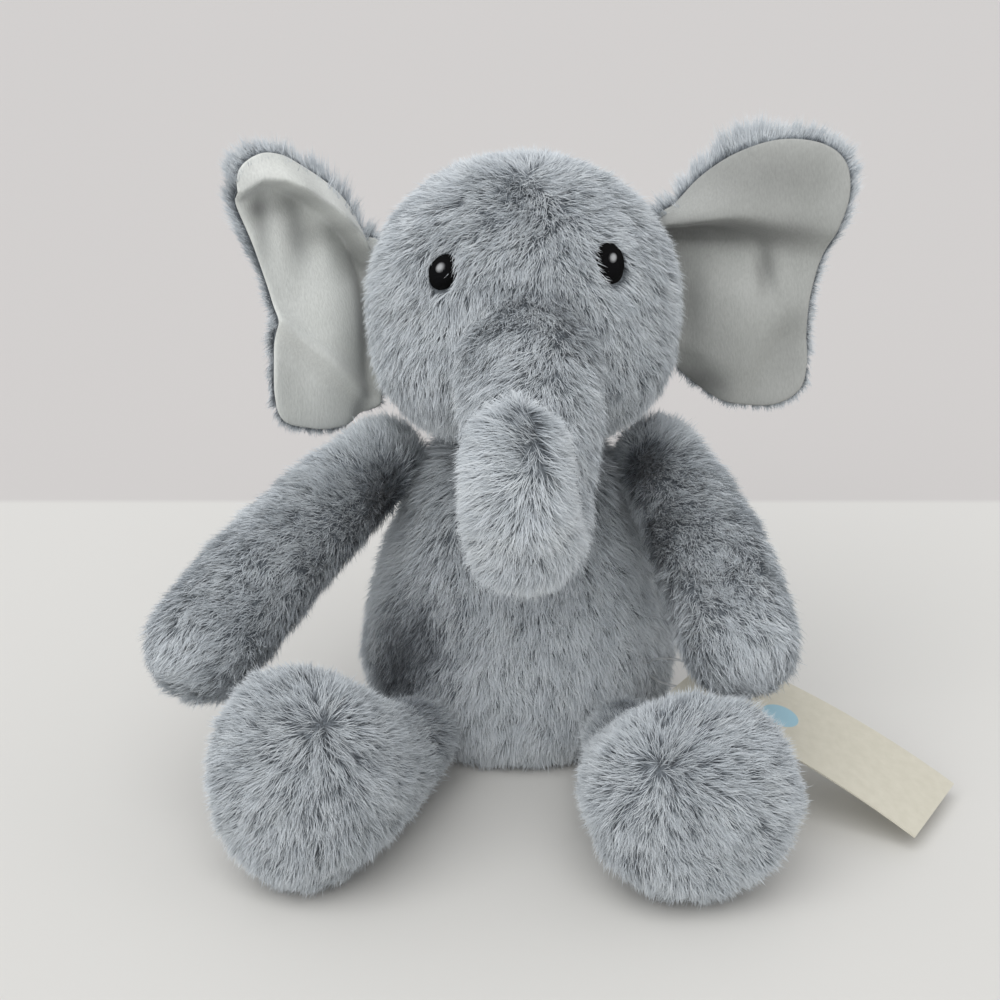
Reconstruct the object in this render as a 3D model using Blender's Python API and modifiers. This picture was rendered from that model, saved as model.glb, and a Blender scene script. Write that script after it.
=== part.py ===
"""Seated plush elephant: sewn cover panels, stuffing, ears, embroidered eyes, tail, label and hang tag.

Metres, +Z up. The elephant faces -Y and sits on z = 0. Left and right are its own, so left is +X.
Cover panels are shells of backing cloth with their pile left off; each meets the next at a sewn seam.
"""
import math

import bmesh
import bpy
from mathutils import Matrix, Vector

# Driving dimensions
COVER = 0.0012  # thickness of a cover panel
SEAM = 0.0003  # gap between two pieces that touch
INSET = COVER + 2 * SEAM  # how far stuffing lies inside its cover's outer face
PART_LINE = 0.0008  # how far each of two sewn panels stands back from the middle of their seam

# The body, from the seat up: height, half width, half depth to the front and to the back
BODY_SECTIONS = (
    (0.000, 0.0470, 0.0410, 0.0400),
    (0.005, 0.0560, 0.0480, 0.0460),
    (0.016, 0.0615, 0.0530, 0.0510),
    (0.036, 0.0640, 0.0550, 0.0530),
    (0.058, 0.0610, 0.0530, 0.0500),
    (0.080, 0.0540, 0.0470, 0.0440),
    (0.100, 0.0455, 0.0395, 0.0370),
    (0.115, 0.0370, 0.0320, 0.0310),
    (0.124, 0.0270, 0.0235, 0.0230),
    (0.1275, 0.0160, 0.0155, 0.0155),
)
SEAT_RADII = (0.0455, 0.0384)

HEAD_CENTRE = Vector((0.0012, -0.008, 0.187))
HEAD_RADII = Vector((0.0590, 0.0555, 0.0540))
CHEEKS = 0.6  # how much squarer than a ball the lower head is
CENTRE_PANEL = 0.030  # half width of the head's centre panel
NECK = Vector((0.0, -0.003, 0.1305))
NECK_RADIUS = 0.012

# The trunk's middle line, from its root ball in the face round to its tip, with its half thickness
TRUNK = (
    (Vector((0.002, -0.0600, 0.1740)), 0.0250),
    (Vector((0.003, -0.0760, 0.1585)), 0.0240),
    (Vector((0.004, -0.0840, 0.1420)), 0.0205),
    (Vector((0.0035, -0.0906, 0.1278)), 0.0187),
    (Vector((0.002, -0.1060, 0.1217)), 0.0178),
    (Vector((-0.0005, -0.1212, 0.1278)), 0.0174),
    (Vector((-0.0022, -0.1274, 0.1430)), 0.0172),
    (Vector((-0.0024, -0.1284, 0.1570)), 0.0164),
    (Vector((-0.0024, -0.1270, 0.1700)), 0.0128),
)
TRUNK_TIP = Vector((-0.0024, -0.1247, 0.1785))
TRUNK_SWING = {-6: 0.0012, 6: 0.0022, 18: 0.0012}  # room round the trunk, in the head, at each angle it swings to

EYE_RADII = (0.0054, 0.0066)
GLINT_RADII = (0.0014, 0.0022)
EYES = {"left": (0.0310, 0.0220), "right": (-0.0298, 0.0192)}  # across, and above the head's centre

EAR_HINGE = (0.0600, 0.0140)
EAR_MIDDLE = (0.029, 0.190)
EAR_OUTLINE = (  # out from the hinge, and height
    (0.0015, 0.155), (0.0015, 0.184), (0.0020, 0.213), (0.012, 0.2340), (0.030, 0.2455), (0.050, 0.2475),
    (0.0640, 0.241), (0.0655, 0.222), (0.0580, 0.197), (0.0545, 0.172), (0.0550, 0.153), (0.0490, 0.1405),
    (0.035, 0.1365), (0.018, 0.1400),
)
EAR_TOP = 0.2475
EAR_FOLD = 0.230  # above this height the ear's rim curls forward
EAR_TURN = {"left": -4, "right": -36}  # degrees that each ear stands forward
EAR_LEAN = {"left": 0.0, "right": 0.05}  # how far each ear leans in towards the neck, for its height

# Limbs: where each hangs from the body, and where it ends
ARM_ROOT = 0.0155
ARMS = {
    "left": (Vector((0.0565, -0.004, 0.1190)), Vector((0.0725, -0.050, 0.1060)), Vector((0.0795, -0.097, 0.0800))),
    "right": (Vector((-0.0560, -0.004, 0.1190)), Vector((-0.088, -0.048, 0.1040)), Vector((-0.116, -0.095, 0.0775))),
}
HAND = 0.0197
HIP = Vector((0.0412, -0.0585, 0.0200))
HIP_RADIUS = 0.0135
LEG_DIRECTIONS = {"left": 14, "right": 28}  # degrees out from straight ahead
FOOT_SIZES = {"left": (0.0368, 0.0715), "right": (0.0315, 0.0800)}  # half width, and height
# The leg past the hip: distance, then half width, lowest and highest as shares of the foot's
LEG_SECTIONS = (
    (0.020, 0.56, 0.045, 0.50),
    (0.040, 0.74, 0.004, 0.66),
    (0.060, 0.91, 0.000, 0.87),
    (0.079, 1.00, 0.000, 1.00),
    (0.093, 0.90, 0.045, 0.94),
    (0.102, 0.64, 0.170, 0.80),
)
FOOT_END = (0.1065, 0.48)

TAIL = (Vector((0, 0.0600, 0.0360)), Vector((0, 0.0715, 0.0300)), Vector((0, 0.0765, 0.0135)))
TAIL_RADII = (0.0045, 0.0060)

TAG_SIZE = (0.108, 0.048, 0.0006)
TAG_NEAR = Vector((0.0700, -0.0400, 0.0400))  # middle of the tag's end by the body
TAG_FAR = Vector((0.1545, -0.0905, 0.0080))  # middle of its other end
TAG_BOW = 0.004
TAG_HOLE = 0.0022
TAG_HOLE_INSET = 0.007
LOOP_ROOT = Vector((0.0512, -0.0350, 0.0400))  # where the tag's loop comes out of the body
LOOP_RISE = 0.0060
LOOP_WIRE = 0.0005
LABEL_SIZE = (0.012, 0.022, 0.0006)
LABEL_PLACE = (0.022, 0.0555, 0.0030)


def clear_scene():
    for thing in list(bpy.data.objects):
        bpy.data.objects.remove(thing, do_unlink=True)


def new_collection(name):
    collection = bpy.data.collections.new(name)
    bpy.context.scene.collection.children.link(collection)
    return collection


def make_material(name, colour, roughness):
    material = bpy.data.materials.new(name)
    material.use_nodes = True
    shader = material.node_tree.nodes["Principled BSDF"]
    shader.inputs["Base Color"].default_value = (*colour, 1)
    shader.inputs["Roughness"].default_value = roughness
    shader.inputs["Metallic"].default_value = 0.0
    return material


def add_piece(name, bm, material):
    """A named part from a bmesh."""
    mesh = bpy.data.meshes.new(name)
    bm.to_mesh(mesh)
    bm.free()
    mesh.materials.append(material)
    mesh.shade_smooth()
    piece = bpy.data.objects.new(name, mesh)
    PARTS.objects.link(piece)
    return piece


def add_cutter(name, bm):
    mesh = bpy.data.meshes.new(name)
    bm.to_mesh(mesh)
    bm.free()
    cutter = bpy.data.objects.new(name, mesh)
    CUTTERS.objects.link(cutter)
    cutter.hide_render = True
    cutter.display_type = "WIRE"
    return cutter


def thicken(piece, thickness, inward=True):
    cloth = piece.modifiers.new("cloth", "SOLIDIFY")
    cloth.thickness = thickness
    cloth.offset = -1 if inward else 1
    return piece


def cut(piece, cutter):
    hole = piece.modifiers.new(cutter.name, "BOOLEAN")
    hole.operation = "DIFFERENCE"
    hole.solver = "EXACT"
    hole.object = cutter


def rest_on(piece, body, pivot):
    """Gives a moving piece its parent empty on the joint's axis."""
    name = f"{body}_pivot"
    if name not in bpy.data.objects:
        empty = bpy.data.objects.new(name, None)
        empty.location = pivot
        PARTS.objects.link(empty)
    piece.parent = bpy.data.objects[name]
    piece.matrix_parent_inverse = Matrix.Translation(-pivot)


# Lofts: a row is one section's points, and a row of one point closes an end


def section(centre, side, up, half_width, half_height, angles):
    return [centre + side * half_width * math.cos(a) + up * half_height * math.sin(a) for a in angles]


def whole_turn(count):
    return [2 * math.pi * i / count for i in range(count)]


def half_turn(count, start):
    return [start + math.pi * i / count for i in range(count + 1)]


def loft(rows, closed):
    bm = bmesh.new()
    rows = [[bm.verts.new(point) for point in row] for row in rows]
    for low, high in zip(rows, rows[1:]):
        count = max(len(low), len(high))
        for i in range(count if closed else count - 1):
            j = (i + 1) % count
            if len(low) == 1:
                bm.faces.new((low[0], high[j], high[i]))
            elif len(high) == 1:
                bm.faces.new((low[i], low[j], high[0]))
            else:
                bm.faces.new((low[i], low[j], high[j], high[i]))
    if closed and len(rows[0]) > 1:
        bm.faces.new(list(reversed(rows[0])))
    if closed and len(rows[-1]) > 1:
        bm.faces.new(rows[-1])
    return bm


def shrink(bm, distance, floor=None):
    """Moves a closed surface inward, as stuffing lies inside its cover."""
    bm.normal_update()
    for vert, normal in [(vert, vert.normal.copy()) for vert in bm.verts]:
        vert.co -= normal * distance
        if floor is not None:
            vert.co.z = max(vert.co.z, floor)
    return bm


def frames(points, up_hint=None, side_hint=None):
    """Side, up and forward at each point of a path."""
    found = []
    for i in range(len(points)):
        ahead = (points[min(i + 1, len(points) - 1)] - points[max(i - 1, 0)]).normalized()
        if side_hint is None:
            up = (up_hint - ahead * ahead.dot(up_hint)).normalized()
        else:
            up = ahead.cross(side_hint).normalized()
        found.append((up.cross(ahead), up, ahead))
    return found


def sewn_tube(name, rows_at, panels, pivot, count=6):
    """Two cover panels, each given by where its half turn starts and which way it faces, and the stuffing inside."""
    for label, (start, facing) in panels.items():
        bm = loft(rows_at(half_turn(count, start)), closed=False)
        bmesh.ops.translate(bm, verts=bm.verts, vec=facing * PART_LINE)
        panel = thicken(add_piece(f"{name}_{label}_panel", bm, PLUSH), COVER)
        rest_on(panel, name, pivot)
    inner = shrink(loft(rows_at(whole_turn(2 * count)), closed=True), INSET)
    rest_on(add_piece(f"{name}_stuffing", inner, FILLING), name, pivot)


class Tube:
    """Sections round a path whose two ends are rounded; called with the angles wanted round each section."""

    def __init__(self, stations, start, end, **hints):
        self.stations, self.start, self.end = stations, start, end
        self.frames = frames([centre for centre, _, _ in stations], **hints)
        self.up = self.frames[len(stations) // 2][1]

    def __call__(self, angles):
        rows = [[self.start.copy()]]
        for (centre, half_width, half_height), (side, up, _) in zip(self.stations, self.frames):
            rows.append(section(centre, side, up, half_width, half_height, angles))
        return rows + [[self.end.copy()]]


def round_root(pivot, ahead, radius):
    """The stations of a half ball that ends a limb at its joint, and the ball's own end point."""
    turns = (math.radians(58), math.radians(30))
    stations = [(pivot - ahead * radius * math.sin(a), radius * math.cos(a), radius * math.cos(a)) for a in turns]
    return stations, pivot - ahead * radius


def bend(start, middle, end, t):
    return start.lerp(middle, t).lerp(middle.lerp(end, t), t)


def upper_and_under(up):
    return {"upper": (0.0, up), "under": (math.pi, -up)}


# Body


def body_rows(angles):
    rows = []
    for z, half_width, front, back in BODY_SECTIONS:
        depths = [back if math.sin(a) > 0 else front for a in angles]
        rows.append([Vector((half_width * math.cos(a), d * math.sin(a), z)) for a, d in zip(angles, depths)])
    return rows


def make_body():
    for label, start, facing in (("back", 0.0, 1), ("front", math.pi, -1)):
        bm = loft(body_rows(half_turn(11, start)), closed=False)
        bmesh.ops.translate(bm, verts=bm.verts, vec=(0, facing * PART_LINE, 0))
        thicken(add_piece(f"body_{label}_panel", bm, PLUSH), COVER)
    inner = shrink(loft(body_rows(whole_turn(22)), closed=True), INSET, floor=COVER + SEAM)
    stuffing = add_piece("body_stuffing", inner, FILLING)
    cut(stuffing, ball_cutter("neck_socket", NECK, NECK_RADIUS + SEAM))
    seat = bmesh.new()
    bmesh.ops.create_cone(seat, cap_ends=True, segments=28, radius1=1, radius2=1, depth=COVER)
    placed = Matrix.Translation((0, 0, COVER / 2)) @ Matrix.Diagonal((*SEAT_RADII, 1, 1))
    bmesh.ops.transform(seat, matrix=placed, verts=seat.verts)
    add_piece("seat_panel", seat, PLUSH)


def ball_cutter(name, centre, radius):
    bm = bmesh.new()
    bmesh.ops.create_uvsphere(bm, u_segments=16, v_segments=10, radius=radius, matrix=Matrix.Translation(centre))
    return add_cutter(name, bm)


def make_neck():
    bm = bmesh.new()
    bmesh.ops.create_uvsphere(bm, u_segments=16, v_segments=10, radius=NECK_RADIUS)
    piece = add_piece("neck_stuffing", bm, FILLING)
    piece.location = NECK


# Head


def head_point(direction):
    """Where the head's outer face lies in a direction from its centre: a ball above, squarer at the cheeks."""
    low = min(max(-direction.z * 2.2, 0.0), 1.0)
    power = 2 + CHEEKS * low * low * (3 - 2 * low)
    size = sum(abs(c) ** power for c in direction) ** (1 / power)
    reach = Vector((HEAD_RADII[i] * direction[i] / size for i in range(3)))
    return HEAD_CENTRE + reach


def head_shell():
    """The head's outer face as a ball with its poles at the two sides."""
    bm = bmesh.new()
    sideways = Matrix.Rotation(math.pi / 2, 4, "Y")
    bmesh.ops.create_uvsphere(bm, u_segments=24, v_segments=15, radius=1, matrix=sideways)
    for vert in bm.verts:
        vert.co = head_point(vert.co.normalized())
    return bm


def slice_off(bm, x, keep_above):
    """Cuts a mesh at a plane of constant x and drops one side."""
    everything = bm.verts[:] + bm.edges[:] + bm.faces[:]
    bmesh.ops.bisect_plane(
        bm, geom=everything, plane_co=(x, 0, 0), plane_no=(1, 0, 0), clear_inner=keep_above, clear_outer=not keep_above
    )


def make_head():
    sockets = [ball_cutter("neck_hole", NECK, NECK_RADIUS + 0.0012)] + trunk_cutters()
    left = head_shell()
    slice_off(left, CENTRE_PANEL + PART_LINE, keep_above=True)
    right = head_shell()
    slice_off(right, -CENTRE_PANEL - PART_LINE, keep_above=False)
    centre = head_shell()
    slice_off(centre, -CENTRE_PANEL + PART_LINE, keep_above=True)
    slice_off(centre, CENTRE_PANEL - PART_LINE, keep_above=False)
    pieces = [
        thicken(add_piece("head_left_panel", left, PLUSH), COVER),
        thicken(add_piece("head_right_panel", right, PLUSH), COVER),
        thicken(add_piece("head_centre_panel", centre, PLUSH), COVER),
        add_piece("head_stuffing", shrink(head_shell(), INSET), FILLING),
    ]
    for piece in pieces[2:]:
        for socket in sockets:
            cut(piece, socket)
    for piece in pieces:
        rest_on(piece, "head", NECK)
    for side, (across, above) in EYES.items():
        make_eye(side, across, above)


def patch(name, centre, normal, radii, thickness, material):
    """A flat-backed oval of embroidery with a rounded rim."""
    bm = bmesh.new()
    bmesh.ops.create_cone(bm, cap_ends=True, segments=16, radius1=1, radius2=0.82, depth=1)
    bmesh.ops.translate(bm, verts=bm.verts, vec=(0, 0, 0.5))
    across = Vector((0, 0, 1)).cross(normal).normalized()
    axes = Matrix((across, normal.cross(across), normal)).transposed().to_4x4()
    placed = Matrix.Translation(centre) @ axes @ Matrix.Diagonal((*radii, thickness, 1))
    bmesh.ops.transform(bm, matrix=placed, verts=bm.verts)
    rest_on(add_piece(name, bm, material), "head", NECK)


def make_eye(side, across, above):
    x, z = across / HEAD_RADII.x, above / HEAD_RADII.z
    direction = Vector((x, -math.sqrt(1 - x * x - z * z), z))
    surface = head_point(direction)
    normal = Vector((direction[i] / HEAD_RADII[i] for i in range(3))).normalized()
    thickness = 0.0011
    patch(f"{side}_eye", surface + normal * SEAM, normal, EYE_RADII, thickness, BLACK_THREAD)
    front = surface + normal * (2 * SEAM + thickness) + Vector((0, 0, 0.0008))
    patch(f"{side}_eye_glint", front, normal, GLINT_RADII, 0.0004, WHITE_THREAD)


# Trunk


def trunk_tube(grow=0.0):
    root, ahead = TRUNK[0][0], (TRUNK[1][0] - TRUNK[0][0]).normalized()
    stations, start = round_root(root, ahead, TRUNK[0][1] + grow)
    stations += [(centre, radius + grow, radius + grow) for centre, radius in TRUNK]
    return Tube(stations, start, TRUNK_TIP, side_hint=Vector((1, 0, 0)))


def trunk_cutters():
    """The room that the trunk's root needs in the head through its swing."""
    root, radius = TRUNK[0]
    cutters = [ball_cutter("trunk_socket", root, radius + TRUNK_SWING[6] + SEAM)]
    for degrees, room in TRUNK_SWING.items():
        bm = loft(trunk_tube(room)(whole_turn(16))[3:7], closed=True)
        swing = Matrix.Translation(root) @ Matrix.Rotation(math.radians(-degrees), 4, "X") @ Matrix.Translation(-root)
        bmesh.ops.transform(bm, matrix=swing, verts=bm.verts)
        cutters.append(add_cutter(f"trunk_room_{degrees:+d}", bm))
    return cutters


def make_trunk():
    sides = {"left": (-math.pi / 2, Vector((1, 0, 0))), "right": (math.pi / 2, Vector((-1, 0, 0)))}
    sewn_tube("trunk", trunk_tube(), sides, TRUNK[0][0])


# Ears


def smooth_ring(points, steps):
    """A closed smooth curve through points in a plane, with some steps between each two."""
    ring = []
    count = len(points)
    for i in range(count):
        a, b, c, d = (Vector(points[(i + k) % count]) for k in (-1, 0, 1, 2))
        for step in range(steps):
            t = step / steps
            ring.append(
                0.5 * (2 * b + (c - a) * t + (2 * a - 5 * b + 4 * c - d) * t * t + (3 * b - a - 3 * c + d) * t ** 3)
            )
    return ring


def ear_sheet(side, forward):
    """One layer of an ear, cupped and with its top rim curled forward; it starts from the hinge line."""
    outline = smooth_ring(EAR_OUTLINE, 2)
    middle = Vector(EAR_MIDDLE)
    bm = bmesh.new()
    mirror = 1 if side == "left" else -1
    turn = Matrix.Rotation(math.radians(EAR_TURN[side] * mirror), 3, "Z")
    hinge = Vector((EAR_HINGE[0] * mirror, EAR_HINGE[1], 0))

    def place(flat):
        out, height = flat
        curl = max(0.0, height - EAR_FOLD) / (EAR_TOP - EAR_FOLD)
        out -= EAR_LEAN[side] * (EAR_TOP - height)
        depth = -0.010 * curl ** 2 - 0.006 * (out / 0.06) ** 2 - forward
        return hinge + turn @ Vector((out * mirror, depth, 0)) + Vector((0, 0, height - 0.004 * curl ** 2))

    rows = [[bm.verts.new(place(middle.lerp(p, share))) for p in outline] for share in (1, 0.72, 0.38)]
    centre = bm.verts.new(place(middle))
    count = len(outline)
    for i in range(count):
        j = (i + 1) % count
        for outer, inner in zip(rows, rows[1:]):
            bm.faces.new((outer[i], outer[j], inner[j], inner[i]))
        bm.faces.new((rows[-1][i], rows[-1][j], centre))
    bm.normal_update()
    if centre.normal.y > 0:
        bmesh.ops.reverse_faces(bm, faces=bm.faces)
    return bm


def make_ears():
    for side, mirror in (("left", 1), ("right", -1)):
        hinge = Vector((EAR_HINGE[0] * mirror, EAR_HINGE[1], EAR_MIDDLE[1]))
        back = thicken(add_piece(f"{side}_ear_back", ear_sheet(side, 0.0), PLUSH), 0.0018)
        lining = thicken(add_piece(f"{side}_ear_lining", ear_sheet(side, 0.0006), LINING), 0.0010, inward=False)
        for layer in (back, lining):
            rest_on(layer, f"{side}_ear", hinge)


# Limbs


def make_arms():
    for side, (root, middle, hand) in ARMS.items():
        ahead = (middle - root).normalized()
        stations, start = round_root(root, ahead, ARM_ROOT)
        for t in (0.0, 0.18, 0.36, 0.54, 0.72, 0.88, 1.0):
            radius = ARM_ROOT + (HAND - ARM_ROOT) * min(1.0, t * 1.5)
            stations.append((bend(root, middle, hand, t), radius, radius))
        along = (hand - middle).normalized()
        for reach, share in ((0.50, 0.87), (0.82, 0.55)):
            stations.append((hand + along * HAND * reach, HAND * share, HAND * share))
        tube = Tube(stations, start, hand + along * HAND * 0.98, up_hint=Vector((0, 0, 1)))
        sewn_tube(f"{side}_arm", tube, upper_and_under(tube.up), root)


def make_legs():
    for side, mirror in (("left", 1), ("right", -1)):
        angle = math.radians(LEG_DIRECTIONS[side])
        ahead = Vector((mirror * math.sin(angle), -math.cos(angle), 0))
        hip = Vector((HIP.x * mirror, HIP.y, HIP.z))
        half_width, height = FOOT_SIZES[side]
        stations, start = round_root(hip, ahead, HIP_RADIUS)
        stations.append((hip, HIP_RADIUS, HIP_RADIUS))
        for distance, wide, low, high in LEG_SECTIONS:
            centre = hip + ahead * distance
            centre.z = PART_LINE + height * (low + high) / 2
            stations.append((centre, half_width * wide, height * (high - low) / 2))
        end = hip + ahead * FOOT_END[0]
        end.z = height * FOOT_END[1]
        tube = Tube(stations, start, end, up_hint=Vector((0, 0, 1)))
        tube.frames = [(Vector((0, 0, 1)).cross(ahead), Vector((0, 0, 1)), ahead) for _ in stations]
        sewn_tube(f"{side}_leg", tube, upper_and_under(Vector((0, 0, 1))), hip)


# Tail, label and tag


def make_tail():
    root, middle, end = TAIL
    ahead = (middle - root).normalized()
    stations, start = round_root(root, ahead, TAIL_RADII[0])
    for t in (0.0, 0.35, 0.7, 1.0):
        radius = TAIL_RADII[0] + (TAIL_RADII[1] - TAIL_RADII[0]) * t
        stations.append((bend(root, middle, end, t), radius, radius))
    along = (end - middle).normalized()
    stations.append((end + along * 0.0035, 0.0045, 0.0045))
    tube = Tube(stations, start, end + along * 0.006, side_hint=Vector((1, 0, 0)))
    piece = add_piece("tail", loft(tube(whole_turn(12)), closed=True), PLUSH)
    rest_on(piece, "tail", root)


def make_label():
    """A blank folded loop of satin ribbon caught in the seat's seam, at the back beside the tail."""
    bm = bmesh.new()
    bmesh.ops.create_cube(bm, size=1)
    bmesh.ops.transform(bm, matrix=Matrix.Diagonal((*LABEL_SIZE, 1)), verts=bm.verts)
    label = add_piece("care_label", bm, SATIN)
    label.location = LABEL_PLACE


def tag_frame():
    along = (TAG_FAR - TAG_NEAR).normalized()
    across = Vector((0, 0, 1)).cross(along).normalized()
    return along, across, along.cross(across)


def tag_point(distance, offset):
    """A point of the tag's middle surface: it bows upward between its ends."""
    along, across, up = tag_frame()
    share = distance / TAG_SIZE[0]
    return TAG_NEAR + along * distance + across * offset + up * TAG_BOW * 4 * share * (1 - share)


def make_tag():
    steps = 12
    bm = bmesh.new()
    rows = []
    for i in range(steps + 1):
        distance = TAG_SIZE[0] * i / steps
        rows.append([bm.verts.new(tag_point(distance, TAG_SIZE[1] / 2 * k)) for k in (-1, 1)])
    for near, far in zip(rows, rows[1:]):
        bm.faces.new((near[0], far[0], far[1], near[1]))
    bmesh.ops.recalc_face_normals(bm, faces=bm.faces)
    card = thicken(add_piece("hang_tag", bm, CARD), TAG_SIZE[2])
    card.modifiers["cloth"].offset = 0
    punch = bmesh.new()
    bmesh.ops.create_cone(punch, cap_ends=True, segments=16, radius1=TAG_HOLE, radius2=TAG_HOLE, depth=0.01)
    bmesh.ops.transform(punch, matrix=Matrix.Translation(tag_point(TAG_HOLE_INSET, 0)), verts=punch.verts)
    cut(card, add_cutter("tag_punch", punch))
    rest_on(card, "hang_tag", tag_point(TAG_HOLE_INSET, 0))


def make_loop():
    """The plastic loop: it leaves the body's seam, passes down through the tag's hole and returns."""
    hole = tag_point(TAG_HOLE_INSET, 0)
    reach = (hole - LOOP_ROOT) / 2
    data = bpy.data.curves.new("tag_loop", "CURVE")
    data.dimensions = "3D"
    data.bevel_depth = LOOP_WIRE
    data.bevel_resolution = 2
    data.use_fill_caps = True
    turns = [math.radians(a) for a in range(-160, 161, 20)]
    spline = data.splines.new("POLY")
    spline.points.add(len(turns) - 1)
    for point, a in zip(spline.points, turns):
        place = LOOP_ROOT + reach * (1 + math.cos(a)) + Vector((0, 0, LOOP_RISE * math.sin(a)))
        point.co = (*place, 1)
    data.materials.append(PLASTIC)
    loop = bpy.data.objects.new("tag_loop", data)
    PARTS.objects.link(loop)


clear_scene()
PARTS = new_collection("stuffed_elephant")
CUTTERS = new_collection("cutters")
PLUSH = make_material("plush", (0.27, 0.32, 0.37), 0.95)
LINING = make_material("ear_velour", (0.52, 0.55, 0.53), 0.85)
FILLING = make_material("polyester_fill", (0.85, 0.85, 0.83), 0.95)
BLACK_THREAD = make_material("black_thread", (0.010, 0.010, 0.012), 0.6)
WHITE_THREAD = make_material("white_thread", (0.75, 0.75, 0.72), 0.6)
SATIN = make_material("label_satin", (0.85, 0.85, 0.84), 0.5)
CARD = make_material("tag_card", (0.62, 0.61, 0.53), 0.7)
PLASTIC = make_material("loop_nylon", (0.80, 0.80, 0.80), 0.4)

make_body()
make_neck()
make_head()
make_trunk()
make_ears()
make_arms()
make_legs()
make_tail()
make_label()
make_tag()
make_loop()
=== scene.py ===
"""A seated plush elephant: the fabrics, fur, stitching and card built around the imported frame.

Metres, +Z up. The elephant faces -Y, and left and right are its own.
"""
import math

import bmesh
import bpy
import numpy as np
from mathutils import Matrix, Vector
from mathutils.bvhtree import BVHTree


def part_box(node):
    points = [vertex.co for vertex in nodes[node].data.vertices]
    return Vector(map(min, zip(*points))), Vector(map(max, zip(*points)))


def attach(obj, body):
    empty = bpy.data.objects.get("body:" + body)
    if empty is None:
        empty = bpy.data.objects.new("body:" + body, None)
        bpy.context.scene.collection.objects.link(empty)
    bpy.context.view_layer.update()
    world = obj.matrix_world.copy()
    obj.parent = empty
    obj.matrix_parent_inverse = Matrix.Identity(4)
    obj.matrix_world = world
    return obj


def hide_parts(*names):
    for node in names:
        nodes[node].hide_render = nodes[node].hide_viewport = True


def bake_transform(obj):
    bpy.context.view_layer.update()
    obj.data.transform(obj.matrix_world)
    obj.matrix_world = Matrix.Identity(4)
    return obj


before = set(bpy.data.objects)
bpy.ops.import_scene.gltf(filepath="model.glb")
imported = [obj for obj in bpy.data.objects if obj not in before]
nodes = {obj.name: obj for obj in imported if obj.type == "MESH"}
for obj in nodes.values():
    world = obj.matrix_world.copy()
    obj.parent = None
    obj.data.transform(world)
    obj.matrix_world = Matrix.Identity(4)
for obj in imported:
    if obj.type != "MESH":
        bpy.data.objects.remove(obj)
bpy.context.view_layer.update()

# Camera: it looks at a point inside the chest from above the horizon.
VIEW_TARGET = Vector((-0.008, 0.0, 0.100))
VIEW_DISTANCE = 0.72
VIEW_ELEVATION = math.radians(19)
VIEW_LENS = 62.46  # mm
VIEW_SENSOR = 36  # mm

# Studio: an even sky, a wide soft sun and a pale table.
SKY_COLOUR = (0.985, 0.985, 1.0, 1)
SKY_STRENGTH = 0.62
SUN_STRENGTH = 2.0
SUN_WIDTH = 70  # degrees
SUN_FROM = Vector((-0.30, -0.80, 1))
TABLE_REACH = 20.0
TABLE_NEAR = (0.690, 0.682, 0.655)
TABLE_FAR = (0.595, 0.575, 0.562)
TABLE_TURNS = (0.284, 0.292)  # across this depth the table's near colour turns to its far one

# The covers: each stuffing solid grows by the cloth that lies over it.
COVER = 0.0018
WELD = 0.0008  # extra growth that joins neighbouring solids, taken off again once they are one
VOXEL = 0.0020
FLOOR_GAP = 0.0004

# Fur: tapered ribbons in locks.
FUR_SEED = 11
WAVES = 9  # summed for the noise that varies the locks
PILE = 0.0075  # length of a hair
HAIRS_PER_CM2 = 330
HAIRS_IN_LOCK = 7
HAIR_HALF_WIDTH = 0.00014
HAIRS_PER_PIECE = 38000
HAIR_TIMES = np.array((0.0, 0.34, 0.70, 1.0))  # places along a hair, from its root to its tip
HAIR_TAPER = np.array((1.0, 0.92, 0.62))  # its width at each, before the tip
HAIR_TONES = np.array((0.0, 0.0, 0.36, 0.36, 0.72, 0.72, 1.0))  # how pale it is at each corner
ROOT_TONE = 0.15
CROWN = np.array((0.002, -0.0280, 0.2420))  # the fur of the head parts here
TRUNK_TIP = (np.array((0.0006, -0.1290, 0.1770)), np.array((0.0050, -0.1450, 0.1640)))  # and along this line
TRUNK_FRONT = (-0.1000, -0.1120)  # across this depth the trunk's nap turns from the crown's to the tip's

# Whorls, from which each limb's fur runs out.
WHORLS = {
    "left_arm": (0.0480, -0.0200, 0.1230),
    "right_arm": (-0.0480, -0.0250, 0.1060),
    "left_leg": (0.0480, -0.1500, 0.0545),
    "right_leg": (-0.0700, -0.1440, 0.0660),
}

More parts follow.
